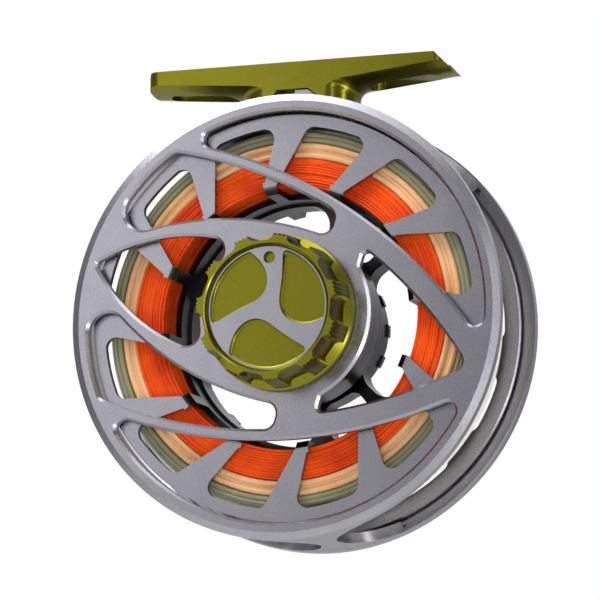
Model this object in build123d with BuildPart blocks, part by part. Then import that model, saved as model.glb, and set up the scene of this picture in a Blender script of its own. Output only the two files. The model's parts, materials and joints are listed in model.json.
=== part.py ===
from build123d import *
import os
from math import cos, pi, radians, sin, sqrt

# Large-arbor fly reel with a sealed disc drag, as separate pieces.
# The row frame is +Z up and +X along the rod. The spool axis runs along Y: the drag
# knob is at -Y and the crank handle at +Y. The origin is on the axis of the rod's
# reel seat, above the middle of the reel foot.
# Every depth is measured forward (+Y) from the flat rear face of the frame, and every
# radius, x and z of a reel piece is measured from the spool axis.

# ---------------------------------------------------------------- driving dimensions
SEAT_RADIUS = 7.6  # rod seat that the foot is clamped to
TROUGH_HALF = 6.25  # half the width of the trough in the foot's top
FOOT_TOP = 59.65  # spool axis to the top of the foot
FOOT_WIDTH = 14.6
FOOT_CENTRE = 16.4  # depth of the foot's middle

FRAME_RADIUS = 50.0
RING_INNER = 46.3
PLATE_THICK = 2.3
RING_THICK = 2.9
BAND_INNER = 47.6
FRONT_RING_REAR = 29.4
FRONT_RING_STEP = 31.0
FRONT_RING_FRONT = 32.8
FRONT_RING_RADIUS = 50.3
FRONT_RING_INNER = 47.5
FRONT_RING_BAND = 49.2  # radius where the front ring's collar meets the band
PATTERN_TURN = 162.7  # direction of the plate pattern's symmetry line, from +X

SPINDLE_RADIUS = 3.0
RUNNING = 0.03  # radial clearance of the running fits
HOUSING_RADIUS = 19.2
HOUSING_INNER = 17.9
COVER_SCREW_RING = 16.8

SPOOL_REAR = 3.0
FLANGE_RADIUS = 45.8
FLANGE_INNER = 43.2
FLANGE_THICK = 1.5
ARBOR_INNER = 28.2
ARBOR_OUTER = 29.6
ARBOR_REAR = 12.5
ARBOR_FRONT = 23.5
SPOKE_TIP = 29.8  # radius where a spoke turns down into its leg
FRONT_WEB = 29.9
FRONT_FACE = 32.1
SPOKES = 12
LINE_REAR = 5.0
LINE_FRONT = 29.7

KNOB_FACE = -10.7
KNOB_BASE = -0.3
KNOB_RADIUS = 16.2
KNOB_LOBES = 11

CRANK_TURN = 72.0  # direction of the handle from the spool axis
CRANK_RADIUS = 38.5

# ---------------------------------------------------------------- placing helpers
SEAT_RISE = sqrt(SEAT_RADIUS**2 - TROUGH_HALF**2)
AXIS_Z = -(SEAT_RISE + FOOT_TOP)
REAR_Y = -FOOT_CENTRE
FOOT_TOP_Z = -SEAT_RISE

os.makedirs("parts", exist_ok=True)


def polar(radius, turn):
    """X and Z of a point at a radius and direction from the spool axis."""
    return radius * cos(radians(turn)), radius * sin(radians(turn))


def behind(depth, turn=0.0):
    """Plane across the spool axis, seen from behind. A negative extrusion goes forward."""
    east, up = polar(1.0, turn)
    return Plane((0, REAR_Y + depth, AXIS_Z), x_dir=(east, 0, up), z_dir=(0, -1, 0))


def half_section(turn=0.0, at=(0.0, 0.0)):
    """Plane through a line along Y. Its x is the radius and its y the depth."""
    east, up = polar(1.0, turn)
    origin = (at[0], REAR_Y, AXIS_Z + at[1])
    return Plane(origin, x_dir=(east, 0, up), z_dir=(-up, 0, east))


def turned(*profile, at=(0.0, 0.0), start=0.0, arc=360.0, mode=Mode.ADD):
    """Revolves (radius, depth) corners about a line along Y, falling from start by arc."""
    with BuildSketch(half_section(start, at)) as outline:
        with BuildLine():
            Polyline(*profile, close=True)
        make_face()
    line = Axis((at[0], REAR_Y, AXIS_Z + at[1]), (0, 1, 0))
    revolve(outline.sketch, axis=line, revolution_arc=arc, mode=mode)


def ring(inner, outer, near, far, **options):
    """Plain ring or disc between two depths."""
    turned((inner, near), (outer, near), (outer, far), (inner, far), **options)


def drilled(points, radius, near, far, mode=Mode.SUBTRACT):
    """Round holes, or pins, along Y at points given as (x, z)."""
    with BuildSketch(behind(near)) as circles:
        with Locations(*points):
            Circle(radius)
    extrude(circles.sketch, amount=near - far, mode=mode)


def around(radius, count, first=0.0):
    """Points spaced evenly round the spool axis."""
    return [polar(radius, first + 360.0 * k / count) for k in range(count)]


def finish(piece, name):
    """Labels a finished piece and writes its STEP file."""
    piece.part.label = name
    export_step(piece.part, f"parts/{name}.step")


# ---------------------------------------------------------------- frame
# One machined piece: rear plate with swept arms, two bridges and the front ring.
# The openings are drawn in a plane whose x is the pattern's symmetry line. Each long arm
# lies between two circles about ARM_CENTRE, mirrored for the other side.
ARM_CENTRE = (26.0, -79.4)
ARM_OUTER = 111.5
ARM_INNER = 109.0
LOWER_ARM_CENTRE = (2.0, -49.9)
LOWER_ARM_RADIUS = 69.7
LONG_START = -5.4  # where the long opening begins on the symmetry line
LENS_CENTRE = (16.3, -29.7)
LENS_RADIUS = 42.5
LENS_HUB = 19.7  # plate kept round the hub on the lens side
TIP_RADIUS = 106.1
TIP_HUB = 20.6  # plate kept round the hub on the other side
TIP_END = -14.2
OPENING_CHAMFER = 0.6
CUT_START = -1.0  # depth where cuts through the plate begin
CUT = 6.0
LIP_INNER = 46.6
LIP_FRONT = 5.6
WINDOW_REAR = RING_THICK
WINDOW_MID = (WINDOW_REAR + FRONT_RING_REAR) / 2
WINDOW_HALF = (FRONT_RING_REAR - WINDOW_REAR) / 2
WINDOW_END_TURN = 180 / pi * WINDOW_HALF / FRAME_RADIUS
WINDOW_ROOT = 44.0  # radius where the round cut at a window's end begins
WINDOW_CUT = 9.0
WINDOWS = ((-80.0, 54.0), (126.0, 274.0))  # directions where each side window ends
RECESSES = ((-73.0, 58.0), (122.0, 263.5))
THRUST_PIN_RING = 7.8
THRUST_PINS = around(THRUST_PIN_RING, 3, 90)
PIN_HOLE = 1.25  # radius of the holes for the thrust pins and housing screws
HOUSING_SCREWS = around(15.8, 3, 40)
DETENT_RING = 11.5
DETENT_TURN = 300.0
DETENT = polar(DETENT_RING, DETENT_TURN)
FOOT_SCREW_X = 9.5
FOOT_SCREW_RADIUS = 1.5
FOOT_SCREW_HEAD = 3.0
FOOT_SCREW_SEAT = 47.4  # radius of the seat of a foot screw's head


def crescent_opening(side):
    """Opening between the ring and the outer edge of a long arm."""
    with BuildSketch(behind(CUT_START, PATTERN_TURN)) as shape:
        Circle(RING_INNER)
        with Locations((ARM_CENTRE[0], side * ARM_CENTRE[1])):
            Circle(ARM_OUTER, mode=Mode.SUBTRACT)
        fillet(shape.vertices(), 2.0)
    extrude(shape.sketch, amount=-CUT, mode=Mode.SUBTRACT)


def long_opening(side):
    """Opening between the two arms that sweep over the hub."""
    with BuildSketch(behind(CUT_START, PATTERN_TURN)) as shape:
        Circle(RING_INNER)
        with Locations((ARM_CENTRE[0], side * ARM_CENTRE[1])):
            Circle(ARM_INNER, mode=Mode.INTERSECT)
        with Locations((LOWER_ARM_CENTRE[0], side * LOWER_ARM_CENTRE[1])):
            Circle(LOWER_ARM_RADIUS, mode=Mode.SUBTRACT)
        with Locations((LONG_START + FRAME_RADIUS, 0)):
            Rectangle(2 * FRAME_RADIUS, 3 * FRAME_RADIUS, mode=Mode.INTERSECT)
        corners = shape.vertices().sort_by(Axis.X)
        fillet(corners[:2], 2.6)
        fillet(shape.vertices().sort_by(Axis.X)[-1], 4.6)
        fillet(shape.vertices().sort_by(Axis.Y)[-1 if side > 0 else 0], 2.6)
    extrude(shape.sketch, amount=-CUT, mode=Mode.SUBTRACT)


def lens_opening():
    """Pointed opening beside the hub, on the pattern's symmetry line."""
    with BuildSketch(behind(CUT_START, PATTERN_TURN)) as shape:
        with Locations(LENS_CENTRE):
            Circle(LENS_RADIUS)
        with Locations((LENS_CENTRE[0], -LENS_CENTRE[1])):
            Circle(LENS_RADIUS, mode=Mode.INTERSECT)
        Circle(LENS_HUB, mode=Mode.SUBTRACT)
        with Locations((FRAME_RADIUS, 0)):
            Rectangle(2 * FRAME_RADIUS, 2 * FRAME_RADIUS, mode=Mode.INTERSECT)
        fillet(shape.vertices().sort_by(Axis.X)[-1], 1.0)
        fillet(shape.vertices().sort_by(Axis.X)[:2], 3.0)
    extrude(shape.sketch, amount=-CUT, mode=Mode.SUBTRACT)


def hub_opening():
    """Opening on the hub's other side, with its tip between the arms."""
    with BuildSketch(behind(CUT_START, PATTERN_TURN)) as shape:
        with Locations(ARM_CENTRE):
            Circle(TIP_RADIUS)
        with Locations((ARM_CENTRE[0], -ARM_CENTRE[1])):
            Circle(TIP_RADIUS, mode=Mode.INTERSECT)
        Circle(TIP_HUB, mode=Mode.SUBTRACT)
        with Locations((TIP_END - FRAME_RADIUS, 0)):
            Rectangle(2 * FRAME_RADIUS, 2 * FRAME_RADIUS, mode=Mode.INTERSECT)
        fillet(shape.vertices().sort_by(Axis.X)[0], 2.4)
        fillet(shape.vertices().sort_by(Axis.X)[-4:], 1.1)
    extrude(shape.sketch, amount=-CUT, mode=Mode.SUBTRACT)


with BuildPart() as frame:
    turned(
        (SPINDLE_RADIUS, 0),
        (48.4, 0),
        (FRAME_RADIUS, 0.5),
        (FRAME_RADIUS, RING_THICK),
        (RING_INNER + 0.8, RING_THICK),
        (RING_INNER + 0.3, PLATE_THICK),
        (SPINDLE_RADIUS, PLATE_THICK),
    )
    for side in (1, -1):
        crescent_opening(side)
        long_opening(side)
    lens_opening()
    hub_opening()
    rear_face = frame.faces().sort_by(Axis.Y)[0]
    rims = [e for w in rear_face.inner_wires() for e in w.edges() if w.length > 30]
    chamfer(rims, OPENING_CHAMFER)
    ring(BAND_INNER, FRAME_RADIUS, PLATE_THICK, FRONT_RING_STEP)
    for low, high in WINDOWS:
        ring(
            BAND_INNER - 3,
            FRAME_RADIUS + 3,
            WINDOW_REAR,
            FRONT_RING_REAR,
            start=high - WINDOW_END_TURN,
            arc=high - low - 2 * WINDOW_END_TURN,
            mode=Mode.SUBTRACT,
        )
        for turn in (low + WINDOW_END_TURN, high - WINDOW_END_TURN):
            east, up = polar(1.0, turn)
            root = (WINDOW_ROOT * east, REAR_Y + WINDOW_MID, AXIS_Z + WINDOW_ROOT * up)
            with BuildSketch(Plane(root, x_dir=(0, 1, 0), z_dir=(east, 0, up))):
                Circle(WINDOW_HALF)
            extrude(amount=WINDOW_CUT, mode=Mode.SUBTRACT)
    for low, high in RECESSES:
        ring(
            BAND_INNER - 1,
            FRONT_RING_BAND,
            FRONT_RING_REAR - 0.1,
            FRONT_RING_STEP + 0.5,
            start=high,
            arc=high - low,
            mode=Mode.SUBTRACT,
        )
    turned(
        (FRONT_RING_BAND, FRONT_RING_REAR),
        (FRAME_RADIUS, FRONT_RING_REAR),
        (FRONT_RING_RADIUS, FRONT_RING_REAR + 0.5),
        (FRONT_RING_RADIUS, FRONT_RING_FRONT - 0.4),
        (49.9, FRONT_RING_FRONT),
        (FRONT_RING_INNER, FRONT_RING_FRONT),
        (FRONT_RING_INNER, FRONT_RING_STEP + 0.6),
        (FRONT_RING_INNER + 0.8, FRONT_RING_STEP + 0.6),
        (FRONT_RING_INNER + 0.8, FRONT_RING_STEP),
        (FRONT_RING_BAND, FRONT_RING_STEP),
    )
    # lip round the spool's rear flange
    ring(LIP_INNER, BAND_INNER, PLATE_THICK - 0.2, LIP_FRONT)
    # lug that keys the foot, on the top bridge
    with BuildSketch(behind(9.4)):
        with BuildLine():
            Polyline((-0.2, 49.2), (4.9, 49.2), (4.9, 51.3), (2.9, 53.0), (-0.2, 53.0), close=True)
        make_face()
    extrude(amount=-4.0)
    # holes in the hub for the thrust pins, the housing screws and the detent ball
    drilled(THRUST_PINS, PIN_HOLE, -1, 4)
    drilled(HOUSING_SCREWS, PIN_HOLE, 0.5, 4)
    drilled([DETENT], 1.05, -1, 4)
    # countersunk holes for the foot screws, from inside the top bridge
    for x in (-FOOT_SCREW_X, FOOT_SCREW_X):
        with BuildSketch(Plane((x, 0, AXIS_Z + FOOT_SCREW_SEAT - 2))):
            Circle(FOOT_SCREW_RADIUS + 0.1)
        extrude(amount=6, mode=Mode.SUBTRACT)
        with BuildSketch(Plane((x, 0, AXIS_Z + FOOT_SCREW_SEAT - 2))):
            Circle(FOOT_SCREW_HEAD + 0.3)
        extrude(amount=2.0, mode=Mode.SUBTRACT)
finish(frame, "frame")

# ---------------------------------------------------------------- reel foot
REAR_END = -36.3
FRONT_END = 35.8
STEM_HALF = 12.6
STEM_CORNER = 5.6
STEM_BOTTOM = 13.0
STEM_BLEND = 2.4
SADDLE_GAP = 0.02
SLOT_X = 24.2
SLOT_ROOF = 4.3
RAMP_RUN = 3.3
RAMP_DROP = 3.4


def foot_section(x, side_height, centre_height):
    """Cross-section of the foot: flat top and sides, bowed underside."""
    half = FOOT_WIDTH / 2
    with BuildSketch(Plane((x, 0, FOOT_TOP_Z), x_dir=(0, 1, 0), z_dir=(1, 0, 0))) as section:
        with BuildLine():
            Polyline((-half, -side_height), (-half, 0), (half, 0), (half, -side_height))
            ThreePointArc((half, -side_height), (0, -centre_height), (-half, -side_height))
        make_face()
    return section.sketch


with BuildPart() as reel_foot:
    loft(
        [
            foot_section(REAR_END, 2.9, 4.7),
            foot_section(0, 5.8, 7.8),
            foot_section(FRONT_END, 1.8, 4.1),
        ],
        ruled=True,
    )
    # stem with rounded corners, blended into the underside
    with BuildSketch(Plane((0, 0, FOOT_TOP_Z - STEM_BOTTOM))):
        RectangleRounded(2 * STEM_HALF, FOOT_WIDTH, STEM_CORNER)
    extrude(amount=STEM_BOTTOM - 1)
    seams = reel_foot.edges(Select.NEW).filter_by(lambda e: e.bounding_box().size.Y > 1)
    fillet(seams.filter_by(lambda e: abs(e.center().X) > 1), STEM_BLEND)
    ring(40.0, FRAME_RADIUS + SADDLE_GAP, -10, 45, mode=Mode.SUBTRACT)
    # trough for the rod seat
    with BuildSketch(Plane.YZ.offset(REAR_END - 5)):
        Circle(SEAT_RADIUS)
    extrude(amount=FRONT_END - REAR_END + 10, mode=Mode.SUBTRACT)
    # notch over the frame's lug, open to the rear
    with BuildSketch(behind(5.0)):
        with BuildLine():
            Polyline(
                (-5.8, 45.0), (-5.8, 51.4), (-4.5, 53.3), (3.0, 53.3), (5.2, 51.4), (5.2, 45.0),
                close=True,
            )
        make_face()
    extrude(amount=-9.0, mode=Mode.SUBTRACT)
    # lightening slots under both arms
    for x in (-SLOT_X, SLOT_X):
        with BuildSketch(Plane((x, 0, FOOT_TOP_Z - SLOT_ROOF))):
            SlotOverall(16.5, 6.4)
        extrude(amount=-6, mode=Mode.SUBTRACT)
    # ramp at the front end and rounded ends in plan
    with BuildSketch(Plane.XZ.offset(-20)):
        with BuildLine():
            Polyline(
                (FRONT_END - RAMP_RUN, FOOT_TOP_Z + 0.1),
                (FRONT_END + 3, FOOT_TOP_Z + 0.1),
                (FRONT_END + 3, FOOT_TOP_Z - RAMP_DROP),
                (FRONT_END, FOOT_TOP_Z - RAMP_DROP),
                close=True,
            )
        make_face()
    extrude(amount=40, mode=Mode.SUBTRACT)
    with BuildSketch(Plane(((REAR_END + FRONT_END) / 2, 0, FOOT_TOP_Z - 30))) as plan:
        Rectangle(FRONT_END - REAR_END, FOOT_WIDTH)
        fillet(plan.vertices(), 3.2)
    extrude(amount=40, mode=Mode.INTERSECT)
    for x in (-FOOT_SCREW_X, FOOT_SCREW_X):
        with BuildSketch(Plane((x, 0, AXIS_Z + FOOT_SCREW_SEAT - 0.4))):
            Circle(FOOT_SCREW_RADIUS)
        extrude(amount=7.0, mode=Mode.SUBTRACT)
finish(reel_foot, "reel_foot")

with BuildPart() as foot_screws:
    for x in (-FOOT_SCREW_X, FOOT_SCREW_X):
        with BuildSketch(Plane((x, 0, AXIS_Z + FOOT_SCREW_SEAT))):
            Circle(FOOT_SCREW_HEAD)
        extrude(amount=-FOOT_SCREW_RADIUS)
        with BuildSketch(Plane((x, 0, AXIS_Z + FOOT_SCREW_SEAT))):
            Circle(FOOT_SCREW_RADIUS)
        extrude(amount=6.2)
        # hexagon socket
        with BuildSketch(Plane((x, 0, AXIS_Z + FOOT_SCREW_SEAT - FOOT_SCREW_RADIUS))):
            RegularPolygon(1.3, 6)
        extrude(amount=1.0, mode=Mode.SUBTRACT)
finish(foot_screws, "foot_screws")

# ---------------------------------------------------------------- drag housing
FLOOR_TOP = 4.0
HOUSING_FRONT = 12.2
COVER_REAR = 12.4
COVER_FRONT = 13.6
COVER_SCREWS = around(COVER_SCREW_RING, 6, 10)
COVER_BORE = 6.4
COVER_STEP = 14.6  # radius of the raised boss under the cover
COVER_STEP_REAR = 11.75

with BuildPart() as drag_housing:
    turned(
        (SPINDLE_RADIUS, PLATE_THICK),
        (HOUSING_RADIUS - 0.6, PLATE_THICK),
        (HOUSING_RADIUS, PLATE_THICK + 0.6),
        (HOUSING_RADIUS, HOUSING_FRONT),
        (HOUSING_INNER, HOUSING_FRONT),
        (HOUSING_INNER, FLOOR_TOP),
        (SPINDLE_RADIUS, FLOOR_TOP),
    )
    drilled(COVER_SCREWS, 2.2, FLOOR_TOP - 0.5, HOUSING_FRONT, mode=Mode.ADD)
    drilled(COVER_SCREWS, 1.0, 6.0, HOUSING_FRONT + 1)
    drilled(THRUST_PINS, PIN_HOLE, 1, 5)
    drilled(HOUSING_SCREWS, PIN_HOLE, 1, 5)
finish(drag_housing, "drag_housing")

with BuildPart() as housing_screws:
    drilled(HOUSING_SCREWS, 1.2, 0.5, FLOOR_TOP, mode=Mode.ADD)
    drilled(HOUSING_SCREWS, 1.9, FLOOR_TOP, FLOOR_TOP + 1.2, mode=Mode.ADD)
finish(housing_screws, "housing_screws")

with BuildPart() as cover_gasket:
    ring(HOUSING_INNER + 0.1, HOUSING_RADIUS - 0.1, HOUSING_FRONT, COVER_REAR)
    drilled(COVER_SCREWS, 2.0, HOUSING_FRONT - 1, COVER_REAR + 1)
finish(cover_gasket, "cover_gasket")

with BuildPart() as housing_cover:
    turned(
        (COVER_BORE, COVER_STEP_REAR),
        (COVER_STEP, COVER_STEP_REAR),
        (COVER_STEP, COVER_REAR),
        (HOUSING_RADIUS, COVER_REAR),
        (HOUSING_RADIUS, COVER_FRONT - 0.3),
        (HOUSING_RADIUS - 0.3, COVER_FRONT),
        (COVER_BORE, COVER_FRONT),
    )
    drilled(COVER_SCREWS, 1.0, 10, COVER_FRONT + 1)
finish(housing_cover, "housing_cover")

with BuildPart() as cover_screws:
    drilled(COVER_SCREWS, 0.98, 6.5, COVER_FRONT, mode=Mode.ADD)
    drilled(COVER_SCREWS, 1.6, COVER_FRONT, COVER_FRONT + 0.9, mode=Mode.ADD)
    with BuildSketch(behind(COVER_FRONT + 0.9)):
        with Locations(*COVER_SCREWS):
            RegularPolygon(0.8, 6)
    extrude(amount=0.6, mode=Mode.SUBTRACT)
finish(cover_screws, "cover_screws")

DRIVE_RADIUS = 4.9

with BuildPart() as cover_seal:
    turned(
        (DRIVE_RADIUS + 0.06, 12.6),
        (DRIVE_RADIUS + 0.06, 13.0),
        (5.4, 13.3),
        (COVER_BORE, 13.3),
        (COVER_BORE, 12.2),
        (5.4, 12.2),
    )
finish(cover_seal, "cover_seal")

# ---------------------------------------------------------------- spindle
SHOULDER_RADIUS = 5.2
SHOULDER_FRONT = 5.4
SPINDLE_REAR = -6.5
SPINDLE_FRONT = 34.5

with BuildPart() as spindle:
    turned(
        (0, SPINDLE_REAR),
        (SPINDLE_RADIUS - 0.4, SPINDLE_REAR),
        (SPINDLE_RADIUS, SPINDLE_REAR + 0.4),
        (SPINDLE_RADIUS, FLOOR_TOP),
        (SHOULDER_RADIUS, FLOOR_TOP),
        (SHOULDER_RADIUS, SHOULDER_FRONT),
        (SPINDLE_RADIUS, SHOULDER_FRONT),
        (SPINDLE_RADIUS, SPINDLE_FRONT - 0.5),
        (SPINDLE_RADIUS - 0.5, SPINDLE_FRONT),
        (0, SPINDLE_FRONT),
    )
finish(spindle, "spindle")

# ---------------------------------------------------------------- drag stack
THRUST_REAR = 4.3
DISC_RADIUS = 14.4

with BuildPart() as thrust_ring:
    ring(5.7, 9.9, THRUST_REAR, THRUST_REAR + 1.0)
finish(thrust_ring, "thrust_ring")

with BuildPart() as thrust_pins:
    drilled(THRUST_PINS, 1.2, -1.7, THRUST_REAR, mode=Mode.ADD)
finish(thrust_pins, "thrust_pins")

with BuildPart() as belleville_springs:
    turned((9.6, 5.35), (9.6, 5.7), (5.9, 6.1), (5.9, 5.75))
    turned((5.9, 6.15), (5.9, 6.5), (9.6, 6.9), (9.6, 6.55))
finish(belleville_springs, "belleville_springs")


def keyed_disc(near, far):
    """Disc with three wide keys that stand between the housing's screw posts."""
    ring(8.9, DISC_RADIUS, near, far)
    with BuildSketch(behind(near)) as keys:
        with PolarLocations(15.5, 3, start_angle=40):
            Rectangle(5.2, 11.8)
        Circle(HOUSING_INNER - 0.3, mode=Mode.INTERSECT)
    extrude(keys.sketch, amount=near - far)


with BuildPart() as pressure_plate:
    keyed_disc(6.95, 8.0)
finish(pressure_plate, "pressure_plate")

CARBON_DEPTHS = (8.95, 9.95, 10.95)
STEEL_DEPTHS = (9.5, 10.5)

with BuildPart() as steel_discs:
    for depth in STEEL_DEPTHS:
        keyed_disc(depth, depth + 0.4)
finish(steel_discs, "steel_discs")


def spline_teeth(near, far, inner, outer, width, mode):
    """Six radial teeth, or the slots that take them."""
    with BuildSketch(behind(near)) as teeth:
        with PolarLocations((inner + outer) / 2, 6):
            Rectangle(outer - inner, width)
    extrude(teeth.sketch, amount=near - far, mode=mode)


with BuildPart() as carbon_discs:
    for depth in CARBON_DEPTHS:
        ring(8.05, 14.2, depth, depth + 0.5)
    spline_teeth(8.9, 11.5, 7.5, 8.75, 2.1, Mode.SUBTRACT)
finish(carbon_discs, "carbon_discs")

with BuildPart() as clutch_drum:
    ring(6.6, 8.0, 8.3, 11.5)
    spline_teeth(8.3, 11.5, 7.4, 8.65, 2.0, Mode.ADD)
finish(clutch_drum, "clutch_drum")

with BuildPart() as clutch_rollers:
    drilled(around(5.75, 10), 0.78, 8.5, 11.3, mode=Mode.ADD)
finish(clutch_rollers, "clutch_rollers")

# ---------------------------------------------------------------- drive hub
DRIVE_BORE = 3.9
DRIVE_REAR = 5.8
DRIVE_FLANGE = 12.0
GEAR_REAR = 14.0
HEX_CORNER = 7.2
HEX_REAR = 15.4
HEX_FRONT = 18.5
SOCKET_REAR = 15.7
SOCKET_GAP = 0.15
BEARING_STOP = 18.8
BEARING_REAR = 19.2

with BuildPart() as drive_hub:
    turned(
        (DRIVE_BORE, DRIVE_REAR),
        (DRIVE_RADIUS, DRIVE_REAR),
        (DRIVE_RADIUS, GEAR_REAR),
        (DRIVE_FLANGE, GEAR_REAR),
        (DRIVE_FLANGE, HEX_REAR),
        (DRIVE_BORE, HEX_REAR),
    )
    with BuildSketch(behind(HEX_REAR)):
        RegularPolygon(HEX_CORNER, 6)
        Circle(DRIVE_BORE, mode=Mode.SUBTRACT)
    extrude(amount=HEX_REAR - HEX_FRONT)
finish(drive_hub, "drive_hub")

with BuildPart() as drive_bushing:
    ring(SPINDLE_RADIUS + RUNNING, DRIVE_BORE, DRIVE_REAR, HEX_FRONT)
finish(drive_bushing, "drive_bushing")

GEAR_TEETH = 36
GEAR_OUTER = 15.2

with BuildPart() as click_gear:
    ring(DRIVE_FLANGE, GEAR_OUTER - 0.8, GEAR_REAR, GEAR_REAR + 1.0)
    with BuildSketch(behind(GEAR_REAR)) as teeth:
        with PolarLocations(GEAR_OUTER - 0.9, GEAR_TEETH):
            Trapezoid(1.7, 1.8, 70, rotation=-90)
    extrude(amount=-1.0)
finish(click_gear, "click_gear")

PAWL_TURN = 205.0
PAWL_PIVOT = polar(17.6, PAWL_TURN + 16)

with BuildPart() as click_pawl:
    with BuildSketch(behind(13.9)) as arm:
        with Locations(PAWL_PIVOT):
            Circle(1.4)
        with BuildLine():
            Polyline(
                polar(15.6, PAWL_TURN),
                polar(17.0, PAWL_TURN - 2.5),
                polar(18.9, PAWL_TURN + 13),
                polar(17.6, PAWL_TURN + 17),
                polar(16.4, PAWL_TURN + 6),
                close=True,
            )
        make_face()
        with Locations(PAWL_PIVOT):
            Circle(0.73, mode=Mode.SUBTRACT)
    extrude(amount=-1.0)
finish(click_pawl, "click_pawl")

with BuildPart() as pawl_pin:
    drilled([PAWL_PIVOT], 0.7, COVER_FRONT, 15.6, mode=Mode.ADD)
    drilled([PAWL_PIVOT], 1.1, 15.6, 15.9, mode=Mode.ADD)
finish(pawl_pin, "pawl_pin")

with BuildPart() as pawl_spring:
    ring(0.85, 1.35, 14.95, 15.5, at=PAWL_PIVOT)
    with BuildSketch(behind(14.95)) as leg:
        with BuildLine():
            Polyline(
                polar(17.2, PAWL_TURN + 12.4),
                polar(17.9, PAWL_TURN + 12.4),
                polar(17.4, PAWL_TURN + 4.0),
                polar(16.9, PAWL_TURN + 4.5),
                close=True,
            )
        make_face()
    extrude(amount=-0.4)
finish(pawl_spring, "pawl_spring")

# ---------------------------------------------------------------- drag knob
MEDALLION_FACE = -9.4
MEDALLION_FLOOR = -7.7
MEDALLION_RADIUS = 13.9
POCKET_FLOOR = -8.3
POCKET_RADIUS = 13.3
POCKET_TURN = 29.5  # direction of the first window of the medallion
RIM_INNER = 14.2
GROOVE_FLOOR = -8.9
SKIRT_REAR = -1.9
SKIRT_RADIUS = 17.3
CAVITY_RADIUS = 14.0
NUT_RADIUS = 5.5
NUT_REAR = -6.8
LOBE_STEP = 360.0 / KNOB_LOBES
FIRST_SCALLOP = 29.1
SCALLOP_WIDTH = 6.1
SCALLOP_DEPTH = 1.5
SCALLOP_LEAN = 0.1  # outward lean of the scallops and serrations, as a slope
SERRATION_STEP = 3.4
SERRATION_RADIUS = 0.45


def leaning(radius, turn):
    """Plane behind the knob's face, square to a line that leans outward going forward."""
    east, up = polar(1.0, turn)
    start = (radius * east, REAR_Y + KNOB_FACE - 1, AXIS_Z + radius * up)
    along = (SCALLOP_LEAN * east, 1, SCALLOP_LEAN * up)
    return Plane(start, x_dir=(-up, 0, east), z_dir=along)


with BuildPart() as drag_knob:
    turned(
        (0, MEDALLION_FLOOR),
        (MEDALLION_RADIUS + 0.02, MEDALLION_FLOOR),
        (MEDALLION_RADIUS + 0.02, GROOVE_FLOOR),
        (RIM_INNER, GROOVE_FLOOR),
        (RIM_INNER, KNOB_FACE + 0.25),
        (RIM_INNER + 0.25, KNOB_FACE),
        (KNOB_RADIUS, KNOB_FACE),
        (KNOB_RADIUS + 0.2, KNOB_FACE + 0.3),
        (SKIRT_RADIUS - 0.4, SKIRT_REAR - 0.5),
        (SKIRT_RADIUS - 0.4, KNOB_BASE),
        (CAVITY_RADIUS, KNOB_BASE),
        (CAVITY_RADIUS, SKIRT_REAR),
        (NUT_RADIUS, SKIRT_REAR),
        (NUT_RADIUS, NUT_REAR),
        (0, NUT_REAR),
    )
    # finger scallops with flat bottoms, and fine serrations on the lands between them
    for k in range(KNOB_LOBES):
        turn = FIRST_SCALLOP + k * LOBE_STEP
        with BuildSketch(leaning(KNOB_RADIUS - SCALLOP_DEPTH + SCALLOP_WIDTH / 2, turn)) as scallop:
            RectangleRounded(SCALLOP_WIDTH, SCALLOP_WIDTH, 1.6)
        extrude(scallop.sketch, amount=12, mode=Mode.SUBTRACT)
        for step in (-1, 0, 1):
            middle = turn + LOBE_STEP / 2 + step * SERRATION_STEP
            with BuildSketch(leaning(KNOB_RADIUS + 0.12, middle)) as groove:
                Circle(SERRATION_RADIUS)
            extrude(groove.sketch, amount=9, mode=Mode.SUBTRACT)
    # skirt, with a cone that closes the scallops
    turned(
        (CAVITY_RADIUS, SKIRT_REAR - 2.2),
        (CAVITY_RADIUS + 0.5, SKIRT_REAR - 2.2),
        (SKIRT_RADIUS, SKIRT_REAR),
        (SKIRT_RADIUS, KNOB_BASE - 0.4),
        (SKIRT_RADIUS - 0.3, KNOB_BASE),
        (CAVITY_RADIUS, KNOB_BASE),
    )
    # seat of the O-ring
    ring(15.1, 16.1, KNOB_BASE - 0.9, KNOB_BASE + 0.1, mode=Mode.SUBTRACT)
finish(drag_knob, "drag_knob")


def comma_pocket(turn):
    """One of three comma-shaped windows sunk in the medallion, turned about its centre."""
    tip = polar(POCKET_RADIUS, 44.5)
    heel = polar(POCKET_RADIUS, -41.5)
    with BuildSketch(behind(MEDALLION_FACE, turn)) as shape:
        with BuildLine():
            Spline(
                tip,
                (7.45, 6.15),
                (4.9, 2.4),
                (2.75, -0.9),
                (2.6, -4.1),
                (5.4, -7.45),
                heel,
                tangents=[(-0.6, -0.8), (1, -0.15)],
            )
            ThreePointArc(heel, (POCKET_RADIUS, 0), tip)
        make_face()
        fillet(shape.vertices(), 0.9)
    extrude(shape.sketch, amount=MEDALLION_FACE - POCKET_FLOOR, mode=Mode.SUBTRACT)


with BuildPart() as knob_medallion:
    turned(
        (0, MEDALLION_FACE),
        (MEDALLION_RADIUS - 0.3, MEDALLION_FACE),
        (MEDALLION_RADIUS, MEDALLION_FACE + 0.3),
        (MEDALLION_RADIUS, MEDALLION_FLOOR),
        (0, MEDALLION_FLOOR),
    )
    for turn in (POCKET_TURN, POCKET_TURN + 120, POCKET_TURN + 240):
        comma_pocket(turn)
    floors = [f for f in knob_medallion.faces() if abs(f.center().Y - REAR_Y - POCKET_FLOOR) < 0.01]
    fillet([e for f in floors for e in f.edges()], 0.5)
    drilled([polar(11.15, 88)], 1.35, MEDALLION_FACE - 1, POCKET_FLOOR)
finish(knob_medallion, "knob_medallion")

with BuildPart() as knob_nut:
    ring(SPINDLE_RADIUS + RUNNING, NUT_RADIUS, NUT_REAR, SKIRT_REAR)
finish(knob_nut, "knob_nut")

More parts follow.
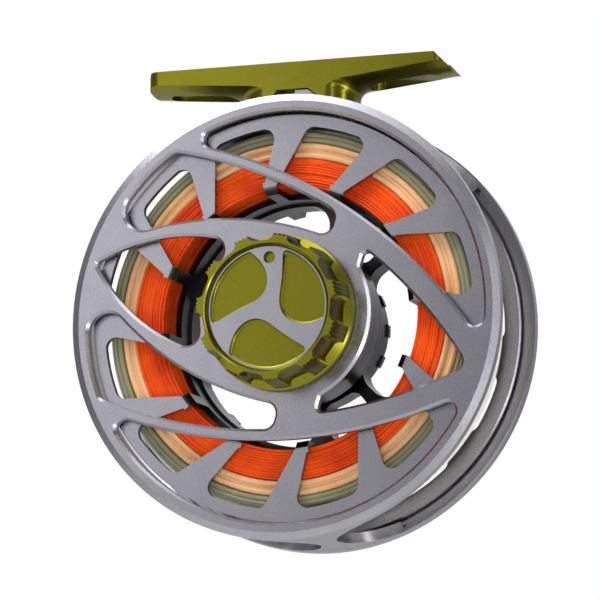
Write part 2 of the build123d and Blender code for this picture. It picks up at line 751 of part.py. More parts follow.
with BuildPart() as knob_o_ring:
    turned(
        (15.25, -1.15),
        (15.95, -1.15),
        (16.05, -0.65),
        (15.8, -0.15),
        (15.4, -0.15),
        (15.15, -0.65),
    )
finish(knob_o_ring, "knob_o_ring")

with BuildPart() as detent_ring:
    ring(9.9, 13.2, -1.9, -0.95)
    for k in range(24):
        drilled([polar(DETENT_RING, DETENT_TURN + 15 * k)], 0.55, -1.25, -0.5)
finish(detent_ring, "detent_ring")

with BuildPart() as detent_ball:
    with Locations((DETENT[0], REAR_Y + 0.25, AXIS_Z + DETENT[1])):
        Sphere(1.0)
finish(detent_ball, "detent_ball")

with BuildPart() as detent_spring:
    ring(0.45, 0.85, 1.7, PLATE_THICK, at=DETENT)
finish(detent_spring, "detent_spring")

# ---------------------------------------------------------------- spool
WEB_REAR = 17.5
DRUM_INNER = 14.9
DRUM_OUTER = 16.1
DRUM_REAR = 15.6
DRUM_FRONT = 29.0
GRIPS = 14
HUB_OUTER = 9.4
HUB_FRONT = 31.4
RACE_OUTER = 7.0
SPOKE_HALF = 2.8  # half the angle that a spoke's tip and its leg take up
CRANK = polar(CRANK_RADIUS, CRANK_TURN)
COUNTER = polar(CRANK_RADIUS, CRANK_TURN + 180)


def flange(face, inside, slant, phase):
    """Flange ring with twelve tapered, slanted spokes and a leg from each to the arbor."""
    near, far = min(face, inside), max(face, inside)
    tips = [phase + 360 / SPOKES * k for k in range(SPOKES)]
    with BuildSketch(behind(near)) as web:
        Circle(FLANGE_RADIUS)
        Circle(FLANGE_INNER, mode=Mode.SUBTRACT)
        for tip in tips:
            with BuildLine():
                Polyline(
                    polar(SPOKE_TIP, tip - SPOKE_HALF),
                    polar(FLANGE_INNER + 1.2, tip + slant - 5.0),
                    polar(FLANGE_INNER + 1.2, tip + slant + 5.0),
                    polar(SPOKE_TIP, tip + SPOKE_HALF),
                    close=True,
                )
            make_face()
        corners = [v for v in web.vertices() if abs(v.center().length - FLANGE_INNER) < 0.1]
        fillet(corners, 2.4)
    extrude(web.sketch, amount=near - far)
    inward = 1 if inside > face else -1
    arbor_end = ARBOR_REAR if inside > face else ARBOR_FRONT
    for tip in tips:
        turned(
            (SPOKE_TIP, face),
            (SPOKE_TIP + 1.2, face),
            (SPOKE_TIP + 1.2, inside),
            (ARBOR_OUTER, inside),
            (ARBOR_OUTER, arbor_end),
            (ARBOR_INNER, arbor_end),
            (ARBOR_INNER, face + inward * 1.6),
            start=tip + SPOKE_HALF,
            arc=2 * SPOKE_HALF,
        )


def web_pane(turn, half_turn, inner, corner):
    """Opening of the inner web: a ring sector with rounded corners."""
    with BuildSketch(behind(WEB_REAR - 1, turn)) as pane:
        Circle(ARBOR_INNER - 0.6)
        Circle(inner, mode=Mode.SUBTRACT)
        with BuildLine():
            Polyline((0, 0), polar(60, -half_turn), polar(90, 0), polar(60, half_turn), close=True)
        make_face(mode=Mode.INTERSECT)
        fillet(pane.vertices(), corner)
    extrude(pane.sketch, amount=-9, mode=Mode.SUBTRACT)


with BuildPart() as spool:
    flange(SPOOL_REAR, SPOOL_REAR + FLANGE_THICK, -10, 7.5)
    flange(FRONT_FACE, FRONT_WEB, 10, 12.0)
    # rim of the front flange and the palming rim in front of the frame
    turned(
        (FLANGE_INNER + 0.4, FRONT_WEB),
        (46.6, FRONT_WEB),
        (47.0, FRONT_WEB + 0.4),
        (47.0, FRONT_RING_FRONT + 0.4),
        (48.6, FRONT_RING_FRONT + 0.4),
        (49.0, FRONT_RING_FRONT + 0.8),
        (49.0, 34.8),
        (48.6, 35.2),
        (45.2, 35.2),
        (FLANGE_INNER + 0.4, FRONT_FACE),
    )
    drilled([CRANK, COUNTER], 5.4, FRONT_WEB, 33.6, mode=Mode.ADD)
    # arbor band, with forked ribs between it and the hub
    ring(HUB_OUTER - 1, ARBOR_OUTER, WEB_REAR, ARBOR_FRONT)
    ring(ARBOR_INNER, ARBOR_OUTER, ARBOR_REAR, ARBOR_FRONT)
    for turn in (56, 176, 296):
        web_pane(turn, 12.5, 19.0, 2.2)
        web_pane(turn + 60, 40.0, DRUM_OUTER + 0.6, 4.6)
    # hub drum, with small serrated grips round its front rim
    ring(DRUM_INNER, DRUM_OUTER, DRUM_REAR, DRUM_FRONT)
    ring(HUB_OUTER - 1, DRUM_OUTER, DRUM_FRONT - 1.4, DRUM_FRONT)
    for grip in range(GRIPS):
        middle = 360.0 / GRIPS * grip - 1.0
        beads = [polar(DRUM_OUTER, middle + step) for step in (-3.6, -1.2, 1.2, 3.6)]
        drilled(beads, 0.5, DRUM_FRONT - 1.6, DRUM_FRONT, mode=Mode.ADD)
    # hub tube, with the drive socket behind and the bearing seats in front
    ring(0, HUB_OUTER, SOCKET_REAR, HUB_FRONT)
    with BuildSketch(behind(SOCKET_REAR)):
        RegularPolygon(HEX_CORNER + SOCKET_GAP, 6)
    extrude(amount=SOCKET_REAR - BEARING_STOP, mode=Mode.SUBTRACT)
    ring(0, 4.7, BEARING_STOP - 1, BEARING_REAR + 1, mode=Mode.SUBTRACT)
    ring(0, RACE_OUTER, BEARING_REAR, HUB_FRONT + 1, mode=Mode.SUBTRACT)
    drilled([CRANK, COUNTER], 2.0, 30.6, 36)
finish(spool, "spool")

BEARINGS = ((BEARING_REAR, 22.2), (28.0, 31.0))
BALL_RING = 5.1

with BuildPart() as bearing_inner_races:
    for near, far in BEARINGS:
        ring(SPINDLE_RADIUS + RUNNING, 4.3, near + 0.1, far)
finish(bearing_inner_races, "bearing_inner_races")

with BuildPart() as bearing_spacer:
    ring(SPINDLE_RADIUS + RUNNING, 4.1, 22.2, 28.1)
finish(bearing_spacer, "bearing_spacer")

with BuildPart() as bearing_balls:
    for near, far in BEARINGS:
        for x, z in around(BALL_RING, 8):
            with Locations((x, REAR_Y + (near + far) / 2, AXIS_Z + z)):
                Sphere(0.75)
finish(bearing_balls, "bearing_balls")

with BuildPart() as bearing_outer_races:
    for near, far in BEARINGS:
        ring(5.9, RACE_OUTER, near, far)
finish(bearing_outer_races, "bearing_outer_races")

# ---------------------------------------------------------------- release cap
CAP_REAR = 31.8
CAP_FRONT = 37.6

with BuildPart() as release_cap:
    turned(
        (SPINDLE_RADIUS + RUNNING, CAP_REAR),
        (8.9, CAP_REAR),
        (9.2, CAP_REAR + 0.3),
        (9.2, CAP_FRONT - 1.6),
        (8.0, CAP_FRONT - 0.4),
        (6.0, CAP_FRONT),
        (0, CAP_FRONT),
        (0, 34.9),
        (SPINDLE_RADIUS + RUNNING, 34.9),
    )
    drilled(around(10.0, 8), 1.6, CAP_REAR + 0.9, CAP_FRONT + 1)
finish(release_cap, "release_cap")

with BuildPart() as cap_o_ring:
    ring(4.6, 5.6, 31.3, CAP_REAR)
finish(cap_o_ring, "cap_o_ring")

# ---------------------------------------------------------------- wound line
LINE_PACKS = (
    ("backing_line", ARBOR_OUTER + 0.1, 36.4, 0.5),
    ("running_line", 36.4, 40.0, 0.5),
    ("head_line", 40.0, 42.5, 0.5),
    ("leader_line", 42.5, 43.9, 4.0),
)
for name, inner, outer, crown in LINE_PACKS:
    shoulder = outer - min(crown, 1.3)
    with BuildPart() as pack:
        turned(
            (inner, LINE_REAR),
            (shoulder, LINE_REAR),
            (outer, LINE_REAR + crown),
            (outer, LINE_FRONT - crown),
            (shoulder, LINE_FRONT),
            (inner, LINE_FRONT),
        )
    finish(pack, name)

# ---------------------------------------------------------------- crank handle
BOSS_FACE = 33.6  # front of the bosses under the handle and the counterweight
POST_RADIUS = 2.4
POST_FRONT = 54.0
SCREW_RADIUS = 1.3
BUSHING_RADIUS = 3.4
HANDLE_REAR = 35.0
HANDLE_FRONT = 57.0
GRIP_GROOVES = (39.5, 41.5, 43.5)

with BuildPart() as handle_post:
    turned(
        (0, 30.6),
        (2.0, 30.6),
        (2.0, BOSS_FACE),
        (4.2, BOSS_FACE),
        (4.2, BOSS_FACE + 1.0),
        (POST_RADIUS, BOSS_FACE + 1.0),
        (POST_RADIUS, POST_FRONT),
        (SCREW_RADIUS, POST_FRONT),
        (SCREW_RADIUS, POST_FRONT - 4.0),
        (0, POST_FRONT - 4.0),
        at=CRANK,
    )
finish(handle_post, "handle_post")

with BuildPart() as handle_knob:
    turned(
        (BUSHING_RADIUS, HANDLE_REAR),
        (5.4, HANDLE_REAR),
        (6.2, HANDLE_REAR + 1.0),
        (5.6, HANDLE_REAR + 4.5),
        (5.5, HANDLE_REAR + 8.0),
        (6.0, HANDLE_REAR + 12.5),
        (6.8, HANDLE_REAR + 17.5),
        (6.9, HANDLE_FRONT - 2.0),
        (6.3, HANDLE_FRONT - 0.6),
        (5.4, HANDLE_FRONT),
        (4.6, HANDLE_FRONT),
        (4.6, POST_FRONT + 0.2),
        (BUSHING_RADIUS, POST_FRONT + 0.2),
        at=CRANK,
    )
    for depth in GRIP_GROOVES:
        turned(
            (5.3, depth), (8, depth - 0.6), (8, depth + 0.6), at=CRANK, mode=Mode.SUBTRACT
        )
finish(handle_knob, "handle_knob")

with BuildPart() as handle_bushings:
    for near, far in ((HANDLE_REAR + 0.1, 38.6), (50.4, POST_FRONT + 0.1)):
        ring(POST_RADIUS + RUNNING, BUSHING_RADIUS, near, far, at=CRANK)
finish(handle_bushings, "handle_bushings")

SCREW_FACE = 55.8

with BuildPart() as handle_screw:
    turned(
        (0, POST_FRONT - 3.8),
        (SCREW_RADIUS, POST_FRONT - 3.8),
        (SCREW_RADIUS, POST_FRONT + 0.4),
        (4.2, POST_FRONT + 0.4),
        (4.2, SCREW_FACE - 0.4),
        (3.8, SCREW_FACE),
        (0, SCREW_FACE),
        at=CRANK,
    )
    with BuildSketch(behind(SCREW_FACE)):
        with Locations(CRANK):
            RegularPolygon(1.5, 6)
    extrude(amount=0.9, mode=Mode.SUBTRACT)
finish(handle_screw, "handle_screw")

COUNTER_FACE = 37.0
COUNTER_SEAT = 35.4

with BuildPart() as counterweight:
    turned(
        (1.2, BOSS_FACE),
        (5.2, BOSS_FACE),
        (5.2, COUNTER_FACE - 0.8),
        (4.4, COUNTER_FACE),
        (2.3, COUNTER_FACE),
        (2.3, COUNTER_SEAT),
        (1.2, COUNTER_SEAT),
        at=COUNTER,
    )
finish(counterweight, "counterweight")

with BuildPart() as counterweight_screw:
    turned(
        (0, 30.8),
        (1.2, 30.8),
        (1.2, COUNTER_SEAT),
        (2.2, COUNTER_SEAT),
        (2.2, COUNTER_FACE - 0.3),
        (0, COUNTER_FACE - 0.3),
        at=COUNTER,
    )
    with BuildSketch(behind(COUNTER_FACE - 0.3)):
        with Locations(COUNTER):
            RegularPolygon(1.1, 6)
    extrude(amount=0.7, mode=Mode.SUBTRACT)
finish(counterweight_screw, "counterweight_screw")
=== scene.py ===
"""Studio scene of the fly reel: finishes for the machined pieces and the wound line turn by turn."""

import json
import math
import random

import bpy
from mathutils import Matrix, Vector


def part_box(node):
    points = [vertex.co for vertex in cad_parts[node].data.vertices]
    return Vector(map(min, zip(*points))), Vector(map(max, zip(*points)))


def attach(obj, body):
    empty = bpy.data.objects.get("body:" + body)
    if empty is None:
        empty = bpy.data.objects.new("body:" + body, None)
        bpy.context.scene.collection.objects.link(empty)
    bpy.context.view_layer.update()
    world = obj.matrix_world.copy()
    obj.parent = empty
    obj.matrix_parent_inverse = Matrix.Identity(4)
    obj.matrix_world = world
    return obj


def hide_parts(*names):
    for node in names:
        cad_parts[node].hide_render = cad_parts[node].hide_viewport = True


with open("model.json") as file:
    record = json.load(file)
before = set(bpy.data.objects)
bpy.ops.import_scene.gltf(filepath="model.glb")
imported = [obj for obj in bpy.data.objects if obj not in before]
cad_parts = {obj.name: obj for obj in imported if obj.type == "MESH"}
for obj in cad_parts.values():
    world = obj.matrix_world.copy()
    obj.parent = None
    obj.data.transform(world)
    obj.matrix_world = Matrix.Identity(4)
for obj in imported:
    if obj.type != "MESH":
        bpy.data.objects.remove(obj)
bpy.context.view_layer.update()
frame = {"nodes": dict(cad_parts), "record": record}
nodes = frame["nodes"]

MM = 0.001
spindle_low, spindle_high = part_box("spindle")
AXIS_X = (spindle_low.x + spindle_high.x) / 2
AXIS_Z = (spindle_low.z + spindle_high.z) / 2


# ---------------------------------------------------------------- camera
AZIMUTH = math.radians(18.52)
ELEVATION = math.radians(-9.695)
ROLL = math.radians(0.25)
CAMERA_DISTANCE = 0.7
LENS = 189.66
SENSOR = 36.0
AIM_INSET = 0.4 * MM  # depth of the aimed point in the frame's rear plate
FRAME_SHIFT = (4.06 * MM, 3.18 * MM)  # right and up, from the frame's rear ring


def make_camera():
    """Camera below and to the right of the reel, looking at its rear plate."""
    data = bpy.data.cameras.new("camera")
    data.lens = LENS
    data.sensor_width = SENSOR
    camera = bpy.data.objects.new("camera", data)
    bpy.context.scene.collection.objects.link(camera)
    back = Vector(
        (
            math.sin(AZIMUTH) * math.cos(ELEVATION),
            -math.cos(AZIMUTH) * math.cos(ELEVATION),
            math.sin(ELEVATION),
        )
    )
    level = Vector((math.cos(AZIMUTH), math.sin(AZIMUTH), 0))
    upright = back.cross(level)
    right = math.cos(ROLL) * level + math.sin(ROLL) * upright
    up = math.cos(ROLL) * upright - math.sin(ROLL) * level
    target = Vector((AXIS_X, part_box("frame")[0].y + AIM_INSET, AXIS_Z))
    place = target + CAMERA_DISTANCE * back + FRAME_SHIFT[0] * right + FRAME_SHIFT[1] * up
    turned = Matrix((right, up, back)).transposed().to_4x4()
    camera.matrix_world = Matrix.Translation(place) @ turned
    bpy.context.scene.camera = camera


# ---------------------------------------------------------------- node helpers
class Shader:
    """A material under construction: a Principled shader and short ways to add nodes to it."""

    def __init__(self, name, color, metallic, roughness, **sockets):
        self.material = bpy.data.materials.new(name)
        self.material.use_nodes = True
        self.tree = self.material.node_tree
        self.out = self.tree.nodes["Principled BSDF"]
        self.set("Base Color", (*color, 1))
        self.set("Metallic", metallic)
        self.set("Roughness", roughness)
        for socket, value in sockets.items():
            self.set(socket.replace("_", " "), value)

    def set(self, socket, value):
        self.out.inputs[socket].default_value = value

    def add(self, kind, **inputs):
        node = self.tree.nodes.new(kind)
        for socket, value in inputs.items():
            self.feed(node.inputs[socket.replace("_", " ")], value)
        return node

    def feed(self, socket, value):
        if isinstance(value, bpy.types.NodeSocket):
            self.tree.links.new(value, socket)
        else:
            socket.default_value = value

    def link(self, source, socket):
        self.tree.links.new(source, self.out.inputs[socket])

    def place(self):
        return self.add("ShaderNodeTexCoord").outputs["Object"]

    def generated(self):
        """Place within the piece's own box, from 0 to 1 along each axis."""
        return self.add("ShaderNodeTexCoord").outputs["Generated"]

    def maths(self, operation, *values):
        node = self.add("ShaderNodeMath")
        node.operation = operation
        for socket, value in zip(node.inputs, values):
            self.feed(socket, value)
        return node.outputs[0]

    def mixed(self, share, low, high):
        """Blend of two colours or colour sockets."""
        node = self.add("ShaderNodeMix", Factor=share)
        node.data_type = "RGBA"
        for socket, value in zip((node.inputs[6], node.inputs[7]), (low, high)):
            self.feed(socket, (*value, 1) if isinstance(value, tuple) else value)
        return node.outputs[2]

    def noise(self, scale, detail=3.0):
        node = self.add("ShaderNodeTexNoise", Vector=self.place(), Scale=scale, Detail=detail)
        return node.outputs["Fac"]

    def ramp(self, value, low, high, start=0.35, end=0.65):
        """Runs from the colour or number low to high as value goes from start to end."""
        node = self.add("ShaderNodeValToRGB", Fac=value)
        for stop, level, place in zip(node.color_ramp.elements, (low, high), (start, end)):
            stop.position = place
            stop.color = (*level, 1) if isinstance(level, tuple) else (level, level, level, 1)
        return node.outputs["Color"]

    def bump(self, height, strength, distance):
        """Adds a bump on top of any bump already linked."""
        node = self.add("ShaderNodeBump", Height=height, Strength=strength, Distance=distance)
        linked = self.out.inputs["Normal"].links
        if linked:
            self.tree.links.new(linked[0].from_socket, node.inputs["Normal"])
        self.link(node.outputs["Normal"], "Normal")


BLOTCH = 0.04  # how far an anodised colour drifts to either side, as a share


def anodised_shader(name, color, roughness, grain=1.0):
    """Bead-blasted and anodised aluminium."""
    shader = Shader(name, color, 1.0, roughness)
    fine = shader.noise(9000, 2)
    broad = shader.noise(120, 4)
    dark = tuple(c * (1 - BLOTCH) for c in color)
    light = tuple(c * (1 + BLOTCH) for c in color)
    shader.link(shader.ramp(broad, dark, light), "Base Color")
    shader.link(shader.ramp(fine, roughness - 0.04, roughness + 0.05), "Roughness")
    shader.bump(fine, 0.06 * grain, 0.02 * MM)
    return shader


def anodised(name, color, roughness, grain=1.0):
    return anodised_shader(name, color, roughness, grain).material


def two_tone(name, near, far, share_of):
    """Anodised metal in two colours, with share_of giving the far colour's share; the far colour is
    a second anodised colour on the medallion and painted shade on the spool's web.
    """
    shader = anodised_shader(name, near, 0.28)
    plain = shader.out.inputs["Base Color"].links[0].from_socket
    shader.link(shader.mixed(share_of(shader), plain, far), "Base Color")
    return shader.material


# Where the medallion's two-tone finish and the spool's painted shade change: as a share of the
# medallion's thickness, counted from its face, and of the spool's width, counted from its axis.
FACE_EDGE = (0.08, 0.2)
ARBOR_EDGE = (0.298, 0.306)


def below_the_face(shader):
    """0 on the medallion's outer face and 1 in its sunk windows."""
    depth = shader.add("ShaderNodeSeparateXYZ", Vector=shader.generated()).outputs["Y"]
    return shader.ramp(depth, 0.0, 1.0, *FACE_EDGE)


def painted_shade_inside_arbor(shader):
    """1 on the spool's web and hub, inside the arbor, where shade is painted, and 0 on its flanges.
    """
    split = shader.add("ShaderNodeSeparateXYZ", Vector=shader.generated())
    across = shader.maths("SUBTRACT", split.outputs["X"], 0.5)
    up = shader.maths("SUBTRACT", split.outputs["Z"], 0.5)
    across_squared = shader.maths("MULTIPLY", across, across)
    up_squared = shader.maths("MULTIPLY", up, up)
    radius = shader.maths("SQRT", shader.maths("ADD", across_squared, up_squared))
    return shader.ramp(radius, 1.0, 0.0, *ARBOR_EDGE)


def machined(name, color, roughness):
    """Turned or ground metal, with lathe marks round the spool axis."""
    shader = Shader(name, color, 1.0, roughness)
    wear = shader.noise(700, 4)
    rings = shader.add("ShaderNodeTexWave", Vector=shader.place(), Scale=1500, Distortion=1.5)
    rings.wave_type = "RINGS"
    rings.rings_direction = "Y"
    shader.link(shader.ramp(wear, roughness - 0.06, roughness + 0.1), "Roughness")
    shader.bump(rings.outputs["Fac"], 0.12, 0.02 * MM)
    return shader.material


def moulded(name, color, roughness):
    """Moulded plastic or rubber, with a fine skin texture."""
    shader = Shader(name, color, 0.0, roughness)
    skin = shader.noise(2500, 4)
    tone = shader.noise(90, 2)
    dark, light = tuple(c * 0.85 for c in color), tuple(c * 1.15 for c in color)
    shader.link(shader.ramp(tone, dark, light), "Base Color")
    shader.link(shader.ramp(skin, roughness - 0.08, roughness + 0.08), "Roughness")
    shader.bump(skin, 0.3, 0.03 * MM)
    return shader.material


def line_material(name, color, shade, roughness, braid, gloss=0.0):
    """Fishing line: colour drifting along the line between its own colour and a painted shade of it,
    and a braid or a faint coating ripple.
    """
    shader = Shader(
        name, color, 0.0, roughness, Specular_IOR_Level=0.25, Coat_Weight=gloss, Coat_Roughness=0.3
    )
    uv = shader.add("ShaderNodeUVMap").outputs["UV"]
    drift = shader.noise(110, 3)
    shader.link(shader.ramp(drift, shade, color, 0.3, 0.6), "Base Color")
    wave = shader.add("ShaderNodeTexWave", Vector=uv, Scale=braid, Distortion=1.0)
    wave.bands_direction = "DIAGONAL"
    shader.bump(wave.outputs["Fac"], 0.5, 0.04 * MM)
    shader.bump(shader.noise(6000, 2), 0.3, 0.03 * MM)
    return shader.material


GUNMETAL = (0.36, 0.35, 0.385)
OLIVE_METAL = (0.205, 0.192, 0.016)
# Near-black painted shade for the spool's web and hub inside the arbor, where they stand in shade.
SPOOL_WEB_PAINTED_SHADE = (0.05, 0.048, 0.052)
# Darker gunmetal painted as shade on the drag housing and its cover.
HOUSING_PAINTED_SHADE = (0.16, 0.155, 0.165)
FINISHES = {
    "gunmetal": anodised("gunmetal_anodised", GUNMETAL, 0.27),
    "olive_anodised": anodised("olive_anodised", OLIVE_METAL, 0.24, grain=0.7),
    "steel": machined("ground_steel", (0.58, 0.58, 0.6), 0.26),
    "spring_steel": machined("spring_steel", (0.42, 0.42, 0.45), 0.34),
    "brass": machined("turned_brass", (0.66, 0.48, 0.2), 0.26),
    "carbon": moulded("carbon_disc", (0.022, 0.022, 0.024), 0.5),
    "black_rubber": moulded("black_rubber", (0.014, 0.014, 0.015), 0.62),
    "acetal": moulded("white_acetal", (0.74, 0.73, 0.69), 0.4),
    "handle_plastic": moulded("handle_black", (0.028, 0.028, 0.03), 0.38),
}
OWN_FINISHES = {
    "knob_medallion": two_tone("medallion_anodised", GUNMETAL, OLIVE_METAL, below_the_face),
    # The spool's web and hub take painted shade in their colour, not a second anodised colour.
    "spool": two_tone("spool_anodised_painted_shade", GUNMETAL, SPOOL_WEB_PAINTED_SHADE, painted_shade_inside_arbor),
    # The drag housing and its cover are darkened as painted shade.
    "drag_housing": anodised("housing_painted_shade", HOUSING_PAINTED_SHADE, 0.3),
    "housing_cover": anodised("cover_painted_shade", HOUSING_PAINTED_SHADE, 0.3),
}


def finish_cad_nodes():
    """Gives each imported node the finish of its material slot."""
    for part in frame["record"]["subparts"]:
        material = OWN_FINISHES.get(part["node"]) or FINISHES.get(part["material_slot"])
        if material:
            mesh = nodes[part["node"]].data
            mesh.materials.clear()
            mesh.materials.append(material)


# ---------------------------------------------------------------- wound line
# Colour of each line, and its colour in the shade, painted in at random along the line.
ORANGE = ((1.0, 0.105, 0.002), (0.72, 0.045, 0.001))
PEACH = ((0.88, 0.53, 0.27), (0.83, 0.44, 0.18))
OLIVE = ((0.29, 0.28, 0.16), (0.23, 0.225, 0.12))
CREAM = ((0.88, 0.88, 0.78), (0.80, 0.80, 0.68))

ARBOR_RADIUS = 29.7 * MM
LEADER_CROWN = 4 * MM  # how far the leader's barrel shape reaches in from each side
SEGMENTS = 150  # steps in one turn of line
SIDES = 6  # sides of the line's cross-section
PITCH = 0.96  # spacing of the turns, in line thicknesses
CORE_INSET = 0.42  # how far the plain core stays under the turns, in line thicknesses
CROWN_CORE = 0.6  # height of the core under a crown, in line thicknesses
SIDEWAYS = 0.6  # a turn's wander along the axis, as a share of its wander in radius


def tube_ring(verts, faces, uvs, radius, depth, thick, wobble, rng):
    """One turn of line round the spool axis, wandering a little in radius and depth."""
    waves = [(k, rng.uniform(0, math.tau), rng.uniform(0.3, 1.0) / k) for k in (1, 2, 3, 5, 8)]
    swing = [(k, rng.uniform(0, math.tau), rng.uniform(0.3, 1.0) / k) for k in (1, 2, 4, 7)]
    base = len(verts)
    for i in range(SEGMENTS):
        turn = math.tau * i / SEGMENTS
        r = radius + wobble * sum(a * math.sin(k * turn + p) for k, p, a in waves)
        y = depth + wobble * SIDEWAYS * sum(a * math.sin(k * turn + p) for k, p, a in swing)
        for j in range(SIDES):
            lean = math.tau * j / SIDES
            reach = r + thick / 2 * math.cos(lean)
            verts.append(
                (
                    AXIS_X + reach * math.cos(turn),
                    y + thick / 2 * math.sin(lean),
                    AXIS_Z + reach * math.sin(turn),
                )
            )
    step = math.tau * radius / SEGMENTS / thick
    for i in range(SEGMENTS):
        here, after = base + i * SIDES, base + (i + 1) % SEGMENTS * SIDES
        for j in range(SIDES):
            beside = (j + 1) % SIDES
            faces.append((here + j, here + beside, after + beside, after + j))
            along, across = i * step, j / SIDES
            far, over = along + step, across + 1 / SIDES
            uvs += [(along, across), (along, over), (far, over), (far, across)]


def core_ring(verts, faces, uvs, inner, outer, rear, front):
    """Plain closed ring that fills a pack behind its outer turns."""
    corners = ((inner, rear), (outer, rear), (outer, front), (inner, front))
    base = len(verts)
    for i in range(SEGMENTS):
        turn = math.tau * i / SEGMENTS
        for r, y in corners:
            verts.append((AXIS_X + r * math.cos(turn), y, AXIS_Z + r * math.sin(turn)))
    for i in range(SEGMENTS):
        here, after = base + i * 4, base + (i + 1) % SEGMENTS * 4
        for j in range(4):
            beside = (j + 1) % 4
            faces.append((here + j, here + beside, after + beside, after + j))
            uvs += [(0, 0)] * 4


def node_radius(node):
    """Outer radius of a packed ring."""
    low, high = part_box(node)
    return (high.x - low.x) / 2


def wound_pack(node, material, inner, thick, wobble, seed, inside=False, crown=0.0):
    """Replaces a packed ring of line by its turns over a plain core.

    The turns show on both sides of the pack, and on its inner face too if inside is set. A
    pack with a crown is barrel-shaped, and its turns cover its outer face instead.
    """
    low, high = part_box(node)
    outer, rear, front = node_radius(node), low.y, high.y
    rng = random.Random(seed)
    verts, faces, uvs = [], [], []
    inset = thick * CORE_INSET
    core_outer = inner + thick * CROWN_CORE if crown else outer - inset
    core_rear, core_front = rear + inset + crown, front - inset - crown
    core_ring(verts, faces, uvs, inner + inset, core_outer, core_rear, core_front)
    pitch = thick * PITCH
    layers = 0 if crown else max(1, round((outer - inner) / pitch))
    for k in range(layers):
        radius = inner + thick / 2 + (outer - inner - thick) * (k / max(1, layers - 1))
        for depth in (rear + thick / 2, front - thick / 2):
            tube_ring(verts, faces, uvs, radius, depth, thick, wobble, rng)
    turns = round((front - rear) / pitch)
    for k in range(1, turns):
        depth = rear + thick / 2 + (front - rear - thick) * k / turns
        if crown:
            edge = min(depth - rear, front - depth)
            drop = max(0.0, 1 - edge / crown) * (outer - inner)
            radius = outer - drop - thick / 2
            if radius > inner:
                tube_ring(verts, faces, uvs, radius, depth, thick, wobble, rng)
        if inside:
            tube_ring(verts, faces, uvs, inner + thick / 2, depth, thick, wobble, rng)
    mesh = bpy.data.meshes.new(node + "_turns")
    mesh.from_pydata(verts, [], faces)
    layer = mesh.uv_layers.new(name="UVMap")
    for loop, uv in zip(layer.data, uvs):
        loop.uv = uv
    mesh.polygons.foreach_set("use_smooth", [True] * len(mesh.polygons))
    mesh.materials.append(material)
    piece = bpy.data.objects.new(node + "_turns", mesh)
    bpy.context.scene.collection.objects.link(piece)
    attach(piece, "spool")
    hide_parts(node)


def wind_line():
    """Four layers of line, from the arbor outwards."""
    orange = line_material("orange_backing", *ORANGE, 0.62, braid=1.6)
    wound_pack(
        "backing_line", orange, ARBOR_RADIUS, thick=0.6 * MM, wobble=0.24 * MM, seed=3, inside=True
    )
    peach = line_material("peach_line", *PEACH, 0.42, braid=0.2, gloss=0.3)
    backing = node_radius("backing_line")
    wound_pack("running_line", peach, backing, thick=1.6 * MM, wobble=0.05 * MM, seed=5)
    olive = line_material("olive_line", *OLIVE, 0.42, braid=0.2, gloss=0.3)
    running = node_radius("running_line")
    wound_pack("head_line", olive, running, thick=1.45 * MM, wobble=0.04 * MM, seed=7)
    cream = line_material("cream_line", *CREAM, 0.38, braid=0.2, gloss=0.4)
    head = node_radius("head_line")
    wound_pack(
        "leader_line", cream, head, thick=1.3 * MM, wobble=0.03 * MM, seed=9, crown=LEADER_CROWN
    )


# ---------------------------------------------------------------- studio
# Soft boxes: place with its height counted from the spool axis, size, and power in watts.
SOFT_BOXES = {
    "key": ((-0.26, -0.5, 0.15), (0.24, 0.3), 0.26),
    "front_left": ((-0.38, -0.3, 0.64), (0.4, 0.4), 5.4),
    "front_top": ((-0.02, -0.48, 0.4), (0.3, 0.12), 0.09),
    "front_right": ((0.2, -0.6, 0.03), (0.06, 0.4), 0.3),
    "top": ((0.05, -0.25, 0.5 - AXIS_Z), (0.5, 0.4), 2.0),
    "rim": ((0.62, -0.2, 0.12), (0.12, 0.6), 0.9),
    "low": ((0.4, -0.22, -0.16), (0.2, 0.1), 0.45),
}
# Stops of the surround: cosine of the angle from the camera's line of sight, and colour.
SURROUND = ((0.0, (0.26, 0.26, 0.27, 1)), (0.8, (0.3, 0.3, 0.31, 1)), (0.96, (1, 1, 1, 1)))
FLOOR_HALF = 2.0
FLOOR_HEIGHT = -0.26


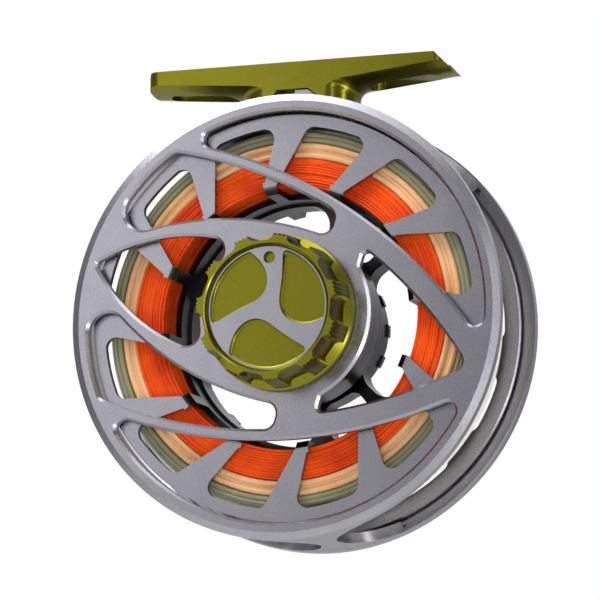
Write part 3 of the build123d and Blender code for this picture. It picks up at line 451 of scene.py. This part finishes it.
def area_light(name, place, size, power):
    """Soft box that faces the spool axis."""
    place = Vector(place) + Vector((0, 0, AXIS_Z))
    data = bpy.data.lights.new(name, "AREA")
    data.shape = "RECTANGLE"
    data.size, data.size_y = size
    data.energy = power
    light = bpy.data.objects.new(name, data)
    bpy.context.scene.collection.objects.link(light)
    light.location = place
    light.rotation_mode = "QUATERNION"
    light.rotation_quaternion = (Vector((0, 0, AXIS_Z)) - place).to_track_quat("-Z", "Y")


def surround():
    """World that is white behind the reel as the camera sees it, and grey elsewhere."""
    world = bpy.data.worlds.new("surround")
    world.use_nodes = True
    tree = world.node_tree
    toward = tree.nodes.new("ShaderNodeVectorMath")
    toward.operation = "DOT_PRODUCT"
    toward.inputs[1].default_value = (
        -math.sin(AZIMUTH) * math.cos(ELEVATION),
        math.cos(AZIMUTH) * math.cos(ELEVATION),
        -math.sin(ELEVATION),
    )
    tree.links.new(tree.nodes.new("ShaderNodeTexCoord").outputs["Generated"], toward.inputs[0])
    ramp = tree.nodes.new("ShaderNodeValToRGB")
    stops = ramp.color_ramp.elements
    stops.new(0.5)
    for stop, (position, color) in zip(stops, SURROUND):
        stop.position, stop.color = position, color
    tree.links.new(toward.outputs["Value"], ramp.inputs["Fac"])
    tree.links.new(ramp.outputs["Color"], tree.nodes["Background"].inputs["Color"])
    bpy.context.scene.world = world


def make_studio():
    """Pale floor well below the reel, a soft surround and soft boxes."""
    surround()
    bpy.context.scene.view_settings.view_transform = "Standard"
    for name, (place, size, power) in SOFT_BOXES.items():
        area_light(name, place, size, power)
    corners = ((-1, -1), (1, -1), (1, 1), (-1, 1))
    mesh = bpy.data.meshes.new("floor")
    mesh.from_pydata(
        [(FLOOR_HALF * x, FLOOR_HALF * y, FLOOR_HEIGHT) for x, y in corners], [], [(0, 1, 2, 3)]
    )
    floor_shader = Shader("pale_floor", (0.82, 0.82, 0.82), 0.0, 0.7)
    mesh.materials.append(floor_shader.material)
    floor = bpy.data.objects.new("floor", mesh)
    bpy.context.scene.collection.objects.link(floor)


make_camera()
finish_cad_nodes()
wind_line()
make_studio()
